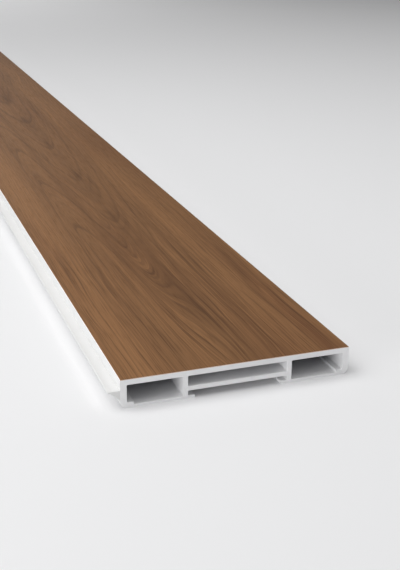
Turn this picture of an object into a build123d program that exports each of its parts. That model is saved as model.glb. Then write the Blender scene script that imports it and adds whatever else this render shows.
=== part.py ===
from build123d import *
import os

# Hollow plastic skirting board, lying on its back
# X runs across the board, Y along its length and Z from the back face up to the show face.
# The origin is the middle of the back face: half the length, half the width, on the floor.
# All sizes are millimetres.

# Overall sizes of the board, without its sealing lip
length = 2500.0
width = 100.0
thickness = 12.5

# Decor film on the show face
film_thickness = 0.3

# Walls of the extrusion
face_wall = 2.25
edge_wall = 2.7
back_wall = 1.2
web_wall = 1.9
shelf_wall = 1.9

# Clip channel in the back: a wide slot with a lip along each side
channel_width = 43.6
channel_lip = 3.1
channel_depth = 3.4

# Rounded back edges, and the thicker corners that stand inside them
back_edge_radius = 2.8
corner_block_width = 2.9
corner_block_height = 2.3

# Small rounds of the extrusion
inner_radius = 0.5
corner_block_radius = 0.35
nose_radius = 0.35
show_edge_radius = 0.25

# Soft sealing lip along the floor edge
lip_reach = 5.0
lip_top = 7.8
lip_tip_thickness = 0.4
lip_tip_radius = 0.12
lip_throat_reach = 1.9
lip_throat_drop = 2.2
lip_above_round = 0.3

# Places worked out from the sizes above
core_top = thickness - film_thickness
chamber_top = core_top - face_wall
half_width = width / 2
web_inside = channel_width / 2
web_outside = web_inside + web_wall
chamber_side = half_width - edge_wall
corner_block_side = chamber_side - corner_block_width
shelf_top = channel_depth + shelf_wall
mouth_half = web_inside - channel_lip
lip_root = back_edge_radius + lip_above_round


def along_board(section):
    """Extrude a section, drawn across the board, over the whole length."""
    return extrude(section, amount=length / 2, both=True)


def closed_outline(*points):
    """Face across the board from (x, z) corners given in order."""
    return Plane.XZ * make_face(Polyline(*points, close=True))


def near_corners(face, places):
    """Corners of a section that stand at the given (x, z) places."""
    wanted = []
    for x, z in places:
        corner = face.vertices().sort_by_distance((x, 0, z))[0]
        wanted.append(corner)
    return wanted


def outer_section():
    """Outline of the extrusion: square show edges, well rounded back edges."""
    outline = closed_outline(
        (-half_width, 0),
        (half_width, 0),
        (half_width, core_top),
        (-half_width, core_top),
    )
    back_edges = near_corners(outline, [(-half_width, 0), (half_width, 0)])
    outline = fillet(back_edges, back_edge_radius)
    show_edges = near_corners(outline, [(-half_width, core_top), (half_width, core_top)])
    return fillet(show_edges, show_edge_radius)


def side_chamber():
    """Chamber beside the clip channel, on the +X side, with the step of its thick corner."""
    corners = [
        (web_outside, back_wall),
        (corner_block_side, back_wall),
        (corner_block_side, corner_block_height),
        (chamber_side, corner_block_height),
        (chamber_side, chamber_top),
        (web_outside, chamber_top),
    ]
    chamber = closed_outline(*corners)
    step_corners = near_corners(chamber, corners[1:3])
    chamber = fillet(step_corners, corner_block_radius)
    return fillet(near_corners(chamber, corners[:1] + corners[3:]), inner_radius)


def middle_chamber():
    """Chamber between the webs, above the shelf of the clip channel."""
    chamber = closed_outline(
        (-web_inside, shelf_top),
        (web_inside, shelf_top),
        (web_inside, chamber_top),
        (-web_inside, chamber_top),
    )
    return fillet(chamber.vertices(), inner_radius)


def clip_channel():
    """Undercut slot in the back that the fixing clips snap into."""
    return closed_outline(
        (-mouth_half, 0),
        (mouth_half, 0),
        (mouth_half, back_wall),
        (web_inside, back_wall),
        (web_inside, channel_depth),
        (-web_inside, channel_depth),
        (-web_inside, back_wall),
        (-mouth_half, back_wall),
    )


def profile_section():
    """Whole section of the hard extrusion, with the channel's own rounds."""
    section = outer_section() - side_chamber() - mirror(side_chamber(), about=Plane.YZ)
    section = section - middle_chamber() - clip_channel()
    noses = []
    roots = []
    for side in (-1, 1):
        noses += [(side * mouth_half, 0), (side * mouth_half, back_wall)]
        roots += [(side * web_inside, back_wall), (side * web_inside, channel_depth)]
    section = fillet(near_corners(section, noses), nose_radius)
    return fillet(near_corners(section, roots), inner_radius)


def profile():
    """The one hard extrusion."""
    return along_board(profile_section())


def decor_film():
    """Film laid over the whole show face, as long and as wide as the board."""
    flat_half = half_width - show_edge_radius
    film = closed_outline(
        (-flat_half, core_top),
        (flat_half, core_top),
        (flat_half, thickness),
        (-flat_half, thickness),
    )
    return along_board(film)


def sealing_lip():
    """Tapered lip on the floor edge: flat on top, hollow curve below, thin at its tip."""
    wall = -half_width
    tip = wall - lip_reach
    throat = (wall - lip_throat_reach, lip_top - lip_throat_drop)
    tip_bottom = (tip, lip_top - lip_tip_thickness)
    root = (wall, lip_root)
    edges = [
        Line(root, (wall, lip_top)),
        Line((wall, lip_top), (tip, lip_top)),
        Line((tip, lip_top), tip_bottom),
        ThreePointArc(tip_bottom, throat, root),
    ]
    outline = Plane.XZ * make_face(edges)
    tip_corners = near_corners(outline, [(tip, lip_top), tip_bottom])
    return along_board(fillet(tip_corners, lip_tip_radius))


nodes = {
    "profile": profile(),
    "decor_film": decor_film(),
    "sealing_lip": sealing_lip(),
}

os.makedirs("parts", exist_ok=True)
for name, shape in nodes.items():
    export_step(shape, f"parts/{name}.step")
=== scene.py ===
# %% [markdown]
# # Dressing a hollow skirting board
#
# The board is one extrusion of white hard vinyl. It lies on its back with its cut end towards us.
# A walnut-look film covers its show face, and a soft lip runs along its floor edge. The solids
# already have their real shapes, so this lesson is about finishes: a printed wood film, a satin
# white plastic with the faint marks of its making, and a softer lip.

# %% Load the board's solids as a fixed frame
from math import cos, radians, sin

import bpy
from mathutils import Matrix, Vector


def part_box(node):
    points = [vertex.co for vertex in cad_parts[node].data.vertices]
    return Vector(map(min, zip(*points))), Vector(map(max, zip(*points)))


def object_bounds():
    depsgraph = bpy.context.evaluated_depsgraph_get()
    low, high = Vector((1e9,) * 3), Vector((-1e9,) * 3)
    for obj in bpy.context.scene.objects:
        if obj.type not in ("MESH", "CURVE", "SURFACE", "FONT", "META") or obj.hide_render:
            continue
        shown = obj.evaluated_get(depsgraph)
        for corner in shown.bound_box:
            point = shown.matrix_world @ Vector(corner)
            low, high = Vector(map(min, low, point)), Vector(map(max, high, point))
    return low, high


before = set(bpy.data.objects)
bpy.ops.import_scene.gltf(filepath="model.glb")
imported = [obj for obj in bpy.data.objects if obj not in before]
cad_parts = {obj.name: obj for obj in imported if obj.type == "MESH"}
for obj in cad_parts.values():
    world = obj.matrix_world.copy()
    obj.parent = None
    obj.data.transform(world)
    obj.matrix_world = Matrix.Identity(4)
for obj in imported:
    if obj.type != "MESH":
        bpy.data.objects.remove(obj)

cad_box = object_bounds()
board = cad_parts["profile"]
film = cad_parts["decor_film"]
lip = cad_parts["sealing_lip"]
profile_low, profile_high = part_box("profile")
film_low, film_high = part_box("decor_film")
print("board from", tuple(cad_box[0]), "to", tuple(cad_box[1]))

# %% [markdown]
# ## Where the camera stands
#
# A camera can be placed by eye, by matching two vanishing points, or by fitting it to known edges
# of the object. The third way gives the truest perspective, and perspective is most of what this
# picture is: a long board running away. The camera stands low in front of the board's near end, a
# little to its left, and looks along it. Its place is kept as a distance from the near corner of
# the lipped edge, so it follows the board if the board's length changes. The lens is kept as the
# number of pixels that its focal length spans in a picture 570 pixels high.

# %% Place the camera
PICTURE_HEIGHT = 570
SENSOR_HEIGHT_MM = 24.0
FOCAL_PIXELS = 1007.5
CAMERA_FROM_CORNER = Vector((-0.0909, -0.3427, 0.1885))
HEADING = radians(19.858)
DOWN = radians(21.038)
ROLL = radians(0.566)


def look_matrix(place, heading, down, roll):
    """Camera matrix from a heading off the board's length, a downward tilt and a small roll."""
    forward = Vector((sin(heading) * cos(down), cos(heading) * cos(down), -sin(down)))
    level = Vector((cos(heading), -sin(heading), 0.0))
    upright = level.cross(forward)
    right = level * cos(roll) + upright * sin(roll)
    up = upright * cos(roll) - level * sin(roll)
    turned = Matrix((right, up, -forward)).transposed().to_4x4()
    return Matrix.Translation(place) @ turned


near_corner = Vector((profile_low.x, profile_low.y, 0.0))
lens = bpy.data.cameras.new("board_camera")
lens.sensor_fit = "VERTICAL"
lens.sensor_height = SENSOR_HEIGHT_MM
lens.lens = FOCAL_PIXELS / PICTURE_HEIGHT * lens.sensor_height
lens.clip_start = 0.01
lens.clip_end = 60.0
camera = bpy.data.objects.new("board_camera", lens)
camera.matrix_world = look_matrix(near_corner + CAMERA_FROM_CORNER, HEADING, DOWN, ROLL)
bpy.context.scene.collection.objects.link(camera)
bpy.context.scene.camera = camera
print("camera at", tuple(round(c, 4) for c in camera.location), "lens", round(lens.lens, 2), "mm")

# %% [markdown]
# ## A small kit for building materials
#
# Every finish here is a graph of shader nodes. Building a graph by hand in code is wordy, so a
# small class keeps it short: it makes a node, sets its fixed values, and joins its inputs. Numbers
# that are the same all over a surface are written straight into the shader's own sockets, because
# an export reads them there.

# %% A helper that writes shader graphs


class Finish:
    """One procedural material and the few node moves that this lesson needs."""

    def __init__(self, name):
        self.material = bpy.data.materials.new(name)
        self.material.use_nodes = True
        self.tree = self.material.node_tree
        self.shader = self.tree.nodes["Principled BSDF"]
        self.coordinates = self.node("ShaderNodeTexCoord").outputs["Object"]

    def node(self, kind, **values):
        made = self.tree.nodes.new(kind)
        for key, value in values.items():
            setattr(made, key, value)
        return made

    def join(self, source, socket):
        if isinstance(source, bpy.types.NodeSocket):
            self.tree.links.new(source, socket)
        else:
            socket.default_value = source

    def math(self, operation, first, second=0.0, third=0.0):
        made = self.node("ShaderNodeMath", operation=operation)
        for socket, source in zip(made.inputs, (first, second, third)):
            self.join(source, socket)
        return made.outputs[0]

    def stretch(self, source, per_metre):
        """Coordinates counted in features per metre along each axis; a zero leaves an axis out."""
        made = self.node("ShaderNodeMapping")
        self.join(source, made.inputs["Vector"])
        made.inputs["Scale"].default_value = per_metre
        return made.outputs[0]

    def axes(self, source):
        made = self.node("ShaderNodeSeparateXYZ")
        self.join(source, made.inputs[0])
        return made.outputs

    def vector(self, x, y):
        made = self.node("ShaderNodeCombineXYZ")
        self.join(x, made.inputs["X"])
        self.join(y, made.inputs["Y"])
        return made.outputs[0]

    def noise(self, source, detail=2.0, roughness=0.5):
        made = self.node("ShaderNodeTexNoise")
        self.join(source, made.inputs["Vector"])
        made.inputs["Scale"].default_value = 1.0
        made.inputs["Detail"].default_value = detail
        made.inputs["Roughness"].default_value = roughness
        return made.outputs["Fac"]

    def span(self, source, low, high, to_low=0.0, to_high=1.0, smooth=True):
        """Carry the range low..high of a value to the range to_low..to_high, and stop at its ends."""
        made = self.node("ShaderNodeMapRange")
        if smooth:
            made.interpolation_type = "SMOOTHSTEP"
        for name, value in zip(
            ("Value", "From Min", "From Max", "To Min", "To Max"),
            (source, low, high, to_low, to_high),
        ):
            self.join(value, made.inputs[name])
        return made.outputs["Result"]

    def mix(self, amount, first, second):
        """Mix two colours by an amount."""
        made = self.node("ShaderNodeMix", data_type="RGBA")
        self.join(amount, made.inputs["Factor"])
        self.join(first, made.inputs["A"])
        self.join(second, made.inputs["B"])
        return made.outputs["Result"]

    def bump(self, height, distance):
        """Slopes of a height pattern that is this deep, at half strength."""
        made = self.node("ShaderNodeBump")
        made.inputs["Distance"].default_value = distance
        made.inputs["Strength"].default_value = 0.5
        self.join(height, made.inputs["Height"])
        return made.outputs["Normal"]


def display(red, green, blue):
    """Linear colour of a tone given as it looks on a screen, 0 to 255."""
    linear = []
    for tone in (red, green, blue):
        share = tone / 255
        linear.append(share / 12.92 if share <= 0.04045 else ((share + 0.055) / 1.055) ** 2.4)
    return (*linear, 1.0)


print("a mid brown is written as", tuple(round(c, 3) for c in display(130, 97, 70)))

# %% [markdown]
# ## The walnut film
#
# The film is a print of a flat-sawn walnut board. On such a board the growth rings show as nested
# arches along the heart line, and as nearly straight grain beside it. A wave texture could draw
# rings, but not arches that nest. Here they come as they do in wood: every ring is a contour of one
# field over the board. The field rises along the board and falls away from the heart line, so its
# contours are arches whose tips point at the near end. To the left it has a shoulder, where the
# arches turn over and point the other way. Before the first tip the field hardly rises, so there
# its contours run straight on to the near end. Slow noise pushes the field a little, and further
# along the board the heart line sways, so that no arch is a perfect curve.

# %% The grain field
MM = 0.001
HEART_FROM_EDGE = 53.0 * MM
SHOULDER_FROM_EDGE = 29.0 * MM
SHOULDER_RISE = 190.0 * MM
RIGHT_STEEPNESS = 500.0
LEFT_STEEPNESS = 2400.0
FIRST_TIP = 147.0 * MM
RISE_BEFORE_TIP = 0.15
STEADY_LENGTH = 0.40
SWAY_LENGTH = 0.90
SWAY = 40.0 * MM
RIPPLE = 3.0 * MM
PATCH_SHIFT = 22.0 * MM
LEAN_FROM_EDGE = 43.0 * MM
LEAN_HALF_WIDTH = 14.0 * MM
LEAN = 0.11
LEAN_LENGTH = 0.20


def squared_past(wood, distance):
    """Square of a distance where it is positive, and nothing on the other side."""
    past = wood.math("MAXIMUM", distance, 0.0)
    return wood.math("MULTIPLY", past, past)


def grain_places(wood):
    """Distance from the left edge, with a slow sway, and distance from the near end."""
    x, y, _ = wood.axes(wood.coordinates)
    from_end = wood.math("SUBTRACT", y, film_low.y)
    swing = wood.noise(wood.stretch(wood.coordinates, (0.0, 2.6, 0.0)), detail=1.0)
    reach = wood.span(from_end, STEADY_LENGTH, SWAY_LENGTH, 0.0, SWAY)
    sway = wood.math("MULTIPLY", wood.math("SUBTRACT", swing, 0.5), reach)
    ripple = wood.noise(wood.stretch(wood.coordinates, (60.0, 9.0, 0.0)), detail=2.0)
    push = wood.span(ripple, 0.0, 1.0, -RIPPLE, RIPPLE, smooth=False)
    from_edge = wood.math("SUBTRACT", x, film_low.x)
    return wood.math("ADD", wood.math("ADD", from_edge, sway), push), from_end


def grain_field(wood, from_edge, from_end):
    """Height of the field in metres: its contours are the growth rings."""
    past_tip = wood.math("SUBTRACT", from_end, FIRST_TIP)
    climb = wood.math("MAXIMUM", past_tip, wood.math("MULTIPLY", past_tip, RISE_BEFORE_TIP))
    rise = wood.span(from_edge, HEART_FROM_EDGE, SHOULDER_FROM_EDGE, 0.0, SHOULDER_RISE)
    right = squared_past(wood, wood.math("SUBTRACT", from_edge, HEART_FROM_EDGE))
    left = squared_past(wood, wood.math("SUBTRACT", SHOULDER_FROM_EDGE, from_edge))
    fall = wood.math("MULTIPLY_ADD", right, RIGHT_STEEPNESS, rise)
    fall = wood.math("SUBTRACT", fall, wood.math("MULTIPLY", left, LEFT_STEEPNESS))
    patch = wood.noise(wood.stretch(wood.coordinates, (35.0, 5.0, 0.0)), detail=2.0)
    shift = wood.span(patch, 0.0, 1.0, -PATCH_SHIFT, PATCH_SHIFT, smooth=False)
    return wood.math("ADD", wood.math("SUBTRACT", climb, fall), shift)


def straight_grain(wood, from_edge, from_end):
    """Place across the board that keeps its value along a fibre; left of the heart it leans."""
    aside = wood.math("ABSOLUTE", wood.math("SUBTRACT", from_edge, LEAN_FROM_EDGE))
    amount = wood.span(aside, 0.0, LEAN_HALF_WIDTH, LEAN, 0.0)
    along = wood.math("MINIMUM", from_end, LEAN_LENGTH)
    return wood.math("MULTIPLY_ADD", along, amount, from_edge)


print("heart line", HEART_FROM_EDGE / MM, "mm from the lipped edge, first arch", FIRST_TIP / MM, "mm along")


# %% [markdown]
# ### Printing the rings
#
# Real rings differ in width and darkness, so the tone is noise read along the field instead of an
# even wave: slow noise for broad bands, faster noise for single rings, and the fastest for the hair
# lines between them. All three follow the arches, because they are read at the same field. A dark
# late-wood line returns at an even spacing of the field, sharp before it and soft behind it. A
# slender dark core follows each tip of it, and a thin vein leads on to the near end. Straight
# streaks run through everything, and a few broad stripes give each part of the width its own warmth.
# The stripes are written in millimetres: their centre, their half width and their amount.

# %% Ring tones
RING_SPACING = 95.0 * MM
CORE_FROM_EDGE = HEART_FROM_EDGE + 1.5 * MM
CORE_HALF_WIDTH = 2.4 * MM
VEIN_FROM_EDGE = HEART_FROM_EDGE + 7.5 * MM
VEIN_SLANT = -0.04
VEIN_HALF_WIDTH = 1.0 * MM
VEIN_SHADE_HALF_WIDTH = 7.0 * MM
GOLDEN_STRIPES = ((9.0, 16.0, 0.60), (40.0, 7.0, 0.16), (80.0, 8.0, 0.28))
SHADED_STRIPES = ((26.0, 5.0, 0.06), (56.0, 10.0, 0.20), (70.0, 6.0, 0.14))
END_STRIPE = (92.0, 8.0, 0.85)
END_STRIPE_LENGTH = 0.22


def stripe(wood, across, centre, half_width, amount):
    """Broad soft stripe along the board."""
    aside = wood.math("ABSOLUTE", wood.math("SUBTRACT", across, centre * MM))
    return wood.span(aside, 0.0, half_width * MM, amount, 0.0)


def stripes(wood, across, places):
    """Sum of several broad stripes."""
    total = 0.0
    for place in places:
        total = wood.math("ADD", total, stripe(wood, across, *place))
    return total


def lines_along(wood, field, from_end, per_metre, along, detail=2.0):
    """Noise whose streaks follow the contours of the field and change slowly along the board."""
    where_across = wood.math("MULTIPLY", field, per_metre)
    where_along = wood.math("MULTIPLY", from_end, along)
    return wood.noise(wood.vector(where_across, where_along), detail=detail, roughness=0.6)


def ring_phase(wood, field):
    """Way from one late-wood line to the next, 0 to 1."""
    rings = wood.math("DIVIDE", wood.math("SUBTRACT", field, FIRST_TIP), RING_SPACING)
    return wood.math("FRACT", rings)


def late_wood(wood, phase, figure):
    """Dark line once in every ring spacing, sharp before it and soft behind it."""
    fading = wood.span(phase, 0.0, 0.16, 1.0, 0.0)
    rising = wood.span(phase, 0.97, 1.0)
    return wood.math("MULTIPLY", wood.math("MAXIMUM", fading, rising), figure)


def heart_cores(wood, from_edge, phase, figure):
    """Dark slender core just behind each tip."""
    aside = wood.math("ABSOLUTE", wood.math("SUBTRACT", from_edge, CORE_FROM_EDGE))
    slender = wood.span(aside, 0.0, CORE_HALF_WIDTH, 1.0, 0.0)
    begin = wood.span(phase, 0.02, 0.10)
    end = wood.span(phase, 0.15, 0.42, 1.0, 0.0)
    shape = wood.math("MULTIPLY", wood.math("MULTIPLY", slender, begin), end)
    return wood.math("MULTIPLY", shape, figure)


def heart_vein(wood, from_edge, from_end):
    """Thin dark vein in a broader shade, from the first tip to the near end and again far along."""
    line = wood.math("MULTIPLY_ADD", from_end, VEIN_SLANT, VEIN_FROM_EDGE)
    aside = wood.math("ABSOLUTE", wood.math("SUBTRACT", from_edge, line))
    thin = wood.span(aside, 0.0, VEIN_HALF_WIDTH, 0.95, 0.0)
    broad = wood.span(aside, 0.0, VEIN_SHADE_HALF_WIDTH, 0.22, 0.0)
    coming = wood.noise(wood.stretch(wood.coordinates, (0.0, 7.0, 0.0)), detail=1.0)
    near = wood.span(from_end, 20.0 * MM, 50.0 * MM)
    far = wood.span(from_end, 110.0 * MM, 150.0 * MM, 1.0, 0.0)
    later = wood.math("MULTIPLY", wood.span(coming, 0.52, 0.62), wood.span(from_end, 0.5, 0.7))
    present = wood.math("MAXIMUM", wood.math("MULTIPLY", near, far), later)
    return wood.math("MULTIPLY", wood.math("MAXIMUM", thin, broad), present)


print("late-wood lines every", RING_SPACING / MM, "mm of the field")

# %% [markdown]
# ### Mixing the tones
#
# The finish starts from one brown and lays every pattern over it as a share of a darker or a lighter
# brown, the way a print lays ink on ink. A colour ramp could do it in one step, but then no layer
# could be judged alone. The streaks are crisp near the cut end and fainter along the board. The
# film is thin, and at its cut edges it shows the pale core that carries the print. Its sheen is
# weak, and rougher over the dark fibres, which are pressed in a little.

# %% Layers of the print
GOLDEN = display(158, 115, 77)
BROWN = display(128, 93, 63)
RED_BROWN = display(113, 77, 52)
DARK = display(76, 52, 36)
PALE_CORE = display(228, 206, 190)
BANDS, RINGS, HAIRS = 14.0, 60.0, 240.0
STREAKS, FINE_STREAKS = 520.0, 1300.0
FIBRES = (2200.0, 60.0, 0.0)
ZONES = (22.0, 3.0, 0.0)
QUIET_HEART = 12.0 * MM
PORE_DEPTH = 0.03 * MM


def warm_base_and_far_sheen(wood, field, across, from_end):
    """Brown with broad golden, red and shaded parts, lightened along the board by a painted sheen."""
    bands = lines_along(wood, field, from_end, BANDS, 3.0)
    zones = wood.noise(wood.stretch(wood.coordinates, ZONES), detail=2.0)
    golden = wood.math("ADD", stripes(wood, across, GOLDEN_STRIPES), wood.span(bands, 0.3, 0.7, 0.0, 0.25))
    # painted sheen: the golden share grows further along the board, lightening the far film
    golden = wood.math("ADD", golden, wood.span(from_end, 0.10, 0.60, 0.0, 0.14))
    base = wood.mix(golden, BROWN, GOLDEN)
    red = wood.math("MULTIPLY", wood.span(zones, 0.45, 0.7), 0.40)
    base = wood.mix(red, base, RED_BROWN)
    base = wood.mix(stripes(wood, across, SHADED_STRIPES), base, DARK)
    near = wood.span(from_end, 0.0, END_STRIPE_LENGTH, 1.0, 0.0)
    return wood.mix(wood.math("MULTIPLY", stripe(wood, across, *END_STRIPE), near), base, RED_BROWN)


def with_rings(wood, base, field, from_edge, from_end):
    """Rings, late-wood lines, cores and vein over the base."""
    figure = wood.span(from_end, 0.05, 0.16, 0.15, 1.0)
    phase = ring_phase(wood, field)
    rings = lines_along(wood, field, from_end, RINGS, 8.0, detail=3.0)
    late = late_wood(wood, phase, figure)
    cores = heart_cores(wood, from_edge, phase, figure)
    vein = heart_vein(wood, from_edge, from_end)
    ring_share = wood.math("MULTIPLY", wood.span(rings, 0.45, 0.75, 0.0, 0.30), figure)
    base = wood.mix(ring_share, base, DARK)
    for pattern, amount in ((late, 0.34), (cores, 0.5), (vein, 0.30)):
        base = wood.mix(wood.math("MULTIPLY", pattern, amount), base, DARK)
    return base


def with_hairs(wood, base, field, from_edge, from_end):
    """Hair lines along the arches, fainter at the heart line and towards the near end."""
    hairs = lines_along(wood, field, from_end, HAIRS, 14.0, detail=3.0)
    from_heart = wood.math("ABSOLUTE", wood.math("SUBTRACT", from_edge, HEART_FROM_EDGE))
    off_heart = wood.span(from_heart, 0.0, QUIET_HEART, 0.3, 1.0)
    strength = wood.math("MULTIPLY", off_heart, wood.span(from_end, 0.06, 0.18, 0.35, 1.0))
    dark = wood.math("MULTIPLY", wood.span(hairs, 0.5, 0.8, 0.0, 0.24), strength)
    light = wood.math("MULTIPLY", wood.span(hairs, 0.45, 0.2, 0.0, 0.22), strength)
    return wood.mix(light, wood.mix(dark, base, DARK), GOLDEN)


def with_streaks(wood, base, across, from_end):
    """Straight streaks, crisp near the cut end."""
    streaks = lines_along(wood, across, from_end, STREAKS, 3.5, detail=4.0)
    fine = lines_along(wood, across, from_end, FINE_STREAKS, 12.0)
    crisp = wood.span(from_end, 0.08, 0.24, 1.0, 0.4)
    for grain, dark, light in ((streaks, 0.29, 0.28), (fine, 0.60, 0.58)):
        dark_share = wood.math("MULTIPLY", wood.span(grain, 0.50, 0.68, 0.0, dark), crisp)
        light_share = wood.math("MULTIPLY", wood.span(grain, 0.47, 0.30, 0.0, light), crisp)
        base = wood.mix(light_share, wood.mix(dark_share, base, DARK), GOLDEN)
    return base


print("print with", len(GOLDEN_STRIPES), "golden and", len(SHADED_STRIPES), "shaded stripes")

# %% Walnut film material


def walnut_film():
    wood = Finish("walnut_film")
    from_edge, from_end = grain_places(wood)
    field = grain_field(wood, from_edge, from_end)
    across = straight_grain(wood, from_edge, from_end)
    base = warm_base_and_far_sheen(wood, field, across, from_end)
    base = with_rings(wood, base, field, from_edge, from_end)
    base = with_hairs(wood, base, field, from_edge, from_end)
    base = with_streaks(wood, base, across, from_end)
    fibres = wood.noise(wood.stretch(wood.coordinates, FIBRES), detail=2.0, roughness=0.6)
    base = wood.mix(wood.span(fibres, 0.52, 0.78, 0.0, 0.40), base, DARK)
    _, _, height = wood.axes(wood.coordinates)
    cut_edge = wood.span(height, film_high.z - 0.08 * MM, film_high.z - 0.04 * MM, 1.0, 0.0)
    wood.join(wood.mix(cut_edge, base, PALE_CORE), wood.shader.inputs["Base Color"])
    wood.join(wood.span(fibres, 0.3, 0.8, 0.46, 0.58), wood.shader.inputs["Roughness"])
    wood.shader.inputs["Specular IOR Level"].default_value = 0.10
    wood.join(wood.bump(fibres, PORE_DEPTH), wood.shader.inputs["Normal"])
    return wood.material


film.data.materials[0] = walnut_film()
print("film dressed with", film.data.materials[0].name)

# %% [markdown]
# ## The white vinyl
#
# Extruded vinyl leaves the die smooth and satin, with faint draw lines along its length. The lines
# could be modelled, but they are hundredths of a millimetre deep, so bump stretched along the board
# is enough. The tone wanders by a few levels, as thick and thin walls cool at different speeds. The
# cut ends and faces keep the plain white. The edge walls get a little painted shade, and the walls
# inside the chambers a darker painted shade, from a short way behind the mouths.

# %% Where the vinyl is greyer
OUTER_SKIN_INSIDE = 47.3 * MM
UNDER_FACE = 9.9 * MM + profile_low.z
MOUTH_RIM = 0.2 * MM
# depth behind a mouth over which the painted shade inside the chambers grows
INSIDE_SHADE_FADE = 18.0 * MM
MIDDLE = (profile_low.y + profile_high.y) / 2
HALF_LENGTH = (profile_high.y - profile_low.y) / 2


def depth_from_ends(vinyl, y):
    """Distance behind the nearer cut end."""
    from_middle = vinyl.math("ABSOLUTE", vinyl.math("SUBTRACT", y, MIDDLE))
    return vinyl.math("SUBTRACT", HALF_LENGTH, from_middle)


def painted_inside_shade(vinyl):
    """Mask of the painted shade inside: 1 on the walls of the chambers and the channel, 0 outside and at
    the mouths of both ends.
    """
    x, y, z = vinyl.axes(vinyl.coordinates)
    aside = vinyl.math("ABSOLUTE", x)
    within = vinyl.span(aside, OUTER_SKIN_INSIDE, OUTER_SKIN_INSIDE + 0.2 * MM, 1.0, 0.0)
    above_back = vinyl.span(z, 0.1 * MM, 0.3 * MM)
    below_face = vinyl.span(z, UNDER_FACE, UNDER_FACE + 0.2 * MM, 1.0, 0.0)
    deep = vinyl.span(depth_from_ends(vinyl, y), MOUTH_RIM, INSIDE_SHADE_FADE)
    share = vinyl.math("MULTIPLY", vinyl.math("MULTIPLY", within, above_back), below_face)
    return vinyl.math("MULTIPLY", share, deep)


def painted_edge_wall_shade(vinyl):
    """Mask of the painted shade on the edge walls: 1 on the two edge walls, 0 on the cut ends."""
    x, y, _ = vinyl.axes(vinyl.coordinates)
    aside = vinyl.math("ABSOLUTE", x)
    wall = vinyl.span(aside, profile_high.x - 0.06 * MM, profile_high.x - 0.03 * MM)
    off_end = vinyl.span(depth_from_ends(vinyl, y), 0.1 * MM, 0.3 * MM)
    return vinyl.math("MULTIPLY", wall, off_end)


print("chambers turn grey within", INSIDE_SHADE_FADE / MM, "mm of a mouth")

# %% [markdown]
# ### Hard and soft vinyl
#
# Both vinyls share one recipe. The soft lip differs as it does in the hand: it is duller, because
# its plasticiser blurs the surface, and a trace greyer. Only the hard profile has chambers and edge
# walls, so only it gets the painted shade.

# %% White vinyl materials
HARD_VINYL_TONE = (246, 246, 247)
# grey of the painted shade on the edge walls
EDGE_WALL_PAINTED_SHADE = (230, 230, 230)
# grey of the darker painted shade inside the chambers and the channel
INSIDE_PAINTED_SHADE = (184, 184, 187)
LIP_TONE = (231, 231, 230)
TONE_WANDER = 6
DRAW_LINES = (900.0, 3.0, 900.0)
CLOUDS = (60.0, 12.0, 60.0)
DRAW_LINE_DEPTH = 0.02 * MM


def white_vinyl(name, tone, roughness, with_painted_shade=False):
    vinyl = Finish(name)
    lines = vinyl.noise(vinyl.stretch(vinyl.coordinates, DRAW_LINES), detail=2.0)
    cloud = vinyl.noise(vinyl.stretch(vinyl.coordinates, CLOUDS), detail=2.0)
    wander = vinyl.span(cloud, 0.3, 0.7)
    shade = [channel - TONE_WANDER for channel in tone]
    base = vinyl.mix(wander, display(*tone), display(*shade))
    if with_painted_shade:
        # painted shade: the edge walls are greyed to tone down the strong lamp light on them
        base = vinyl.mix(painted_edge_wall_shade(vinyl), base, display(*EDGE_WALL_PAINTED_SHADE))
        # painted shade inside the chambers and the channel, deepening behind the mouths
        base = vinyl.mix(painted_inside_shade(vinyl), base, display(*INSIDE_PAINTED_SHADE))
    vinyl.join(base, vinyl.shader.inputs["Base Color"])
    vinyl.join(vinyl.span(cloud, 0.3, 0.7, roughness, roughness + 0.08), vinyl.shader.inputs["Roughness"])
    vinyl.join(vinyl.bump(lines, DRAW_LINE_DEPTH), vinyl.shader.inputs["Normal"])
    return vinyl.material


board.data.materials[0] = white_vinyl("hard_white_vinyl", HARD_VINYL_TONE, 0.38, with_painted_shade=True)
lip.data.materials[0] = white_vinyl("soft_white_vinyl", LIP_TONE, 0.55)
print("profile and lip dressed")

# %% [markdown]
# ## The floor
#
# The board lies on a pale studio floor. A curved backdrop would do too, but the camera looks down,
# so it never sees past a large flat sheet. The sheet is matte and nearly without sheen.

# %% Floor
FLOOR_SIZE = 12.0
FLOOR_TONE = (242, 242, 243)


def floor_sheet(size):
    half = size / 2
    corners = [(-half, -half, 0), (half, -half, 0), (half, half, 0), (-half, half, 0)]
    sheet = bpy.data.meshes.new("studio_floor")
    sheet.from_pydata(corners, [], [(0, 1, 2, 3)])
    ground = Finish("studio_floor")
    ground.shader.inputs["Base Color"].default_value = display(*FLOOR_TONE)
    ground.shader.inputs["Roughness"].default_value = 0.9
    ground.shader.inputs["Specular IOR Level"].default_value = 0.1
    sheet.materials.append(ground.material)
    return sheet


floor = bpy.data.objects.new("studio_floor", floor_sheet(FLOOR_SIZE))
floor.location = (0.0, 0.0, cad_box[0].z)
bpy.context.scene.collection.objects.link(floor)
print("floor", FLOOR_SIZE, "m square")

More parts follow.
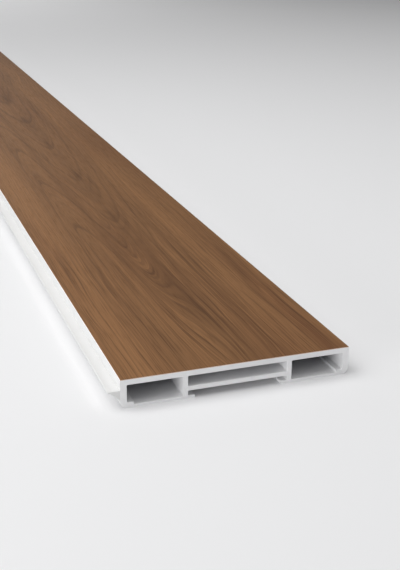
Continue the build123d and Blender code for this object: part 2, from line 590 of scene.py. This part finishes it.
# %% [markdown]
# ## The light
#
# A product on a pale floor needs soft light from large lamps. A sky of plain white would do, but
# it fills the chambers and flattens the cut end. So most of the light comes from above and from the
# upper left, where it makes the lipped side bright and lets the shadow fall to the right. A low
# lamp on the left lights the floor beside the lip and reaches into the chambers, a small one on the
# right opens the shadow, and one above the far half keeps the rest of the board from the dark. The
# world adds a dim fill, and shows a pale background only where the camera looks straight at it.

# %% Lamps


def soft_light(name, place, target, size, watts):
    """Rectangular lamp at a place, turned to a target."""
    shape = bpy.data.lights.new(name, "AREA")
    shape.shape = "RECTANGLE"
    shape.size, shape.size_y = size
    shape.energy = watts
    lamp = bpy.data.objects.new(name, shape)
    aim = target - place
    lamp.rotation_euler = aim.to_track_quat("-Z", "Y").to_euler()
    lamp.location = place
    bpy.context.scene.collection.objects.link(lamp)


near_end = Vector((0.0, profile_low.y, 0.0))
near_part = near_end + Vector((0.0, 0.2, 0.0))
far_half = near_end + Vector((0.0, 1.95, 0.0))
soft_light("overhead", near_end + Vector((-0.18, 0.1, 1.2)), near_part, (1.5, 1.2), 9.5)
soft_light("high_left", near_end + Vector((-0.8, 0.3, 1.1)), near_part, (1.0, 1.2), 6.8)
soft_light("low_left", near_end + Vector((-0.9, -0.35, 0.13)), near_part, (0.6, 0.2), 3.7)
soft_light("high_right", near_end + Vector((1.2, 0.6, 1.0)), near_part, (1.0, 0.8), 1.5)
soft_light("over_far_half", far_half + Vector((0.0, 0.0, 0.6)), far_half, (0.6, 1.0), 2.6)
print(len(bpy.data.lights), "soft lamps")

# %% World
FILL = 0.15
EXTRA_WHERE_SEEN = 0.60

world = bpy.data.worlds.new("studio")
world.use_nodes = True
surround = world.node_tree.nodes["Background"]
surround.inputs["Color"].default_value = (1.0, 1.0, 1.0, 1.0)
seen = world.node_tree.nodes.new("ShaderNodeLightPath").outputs["Is Camera Ray"]
level = world.node_tree.nodes.new("ShaderNodeMath")
level.operation = "MULTIPLY_ADD"
world.node_tree.links.new(seen, level.inputs[0])
level.inputs[1].default_value = EXTRA_WHERE_SEEN
level.inputs[2].default_value = FILL
world.node_tree.links.new(level.outputs[0], surround.inputs["Strength"])
bpy.context.scene.world = world
bpy.context.scene.view_settings.view_transform = "Standard"
print("white surround, fill", FILL)
